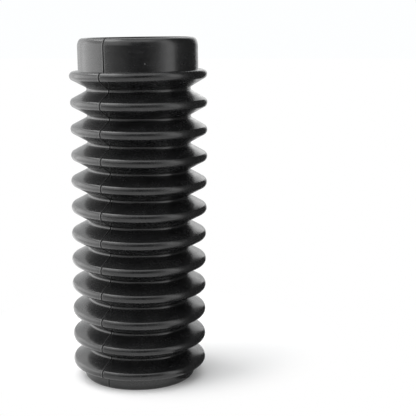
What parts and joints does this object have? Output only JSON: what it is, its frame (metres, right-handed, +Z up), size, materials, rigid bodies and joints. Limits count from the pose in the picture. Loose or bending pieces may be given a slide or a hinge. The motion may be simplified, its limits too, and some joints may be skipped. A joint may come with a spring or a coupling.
{
  "type": "fork gaiter",
  "caption": "Black rubber fork gaiter: an evenly folded round bellows open at both ends, with a tall plain collar at the top and a short cuff at the bottom.",
  "frame": {"origin": "centre of the lower cuff's end face, which stands on the ground plane", "axes": "+Z up along the gaiter's axis, from the short cuff to the tall collar; -Y towards the viewer of the picture, +X to its right"},
  "size_m": [0.0758, 0.0758, 0.192],
  "materials": {
    "rubber": "satin black moulded rubber"
  },
  "bodies": {
    "root": {"gaiter": "rubber"}
  },
  "joints": []
}
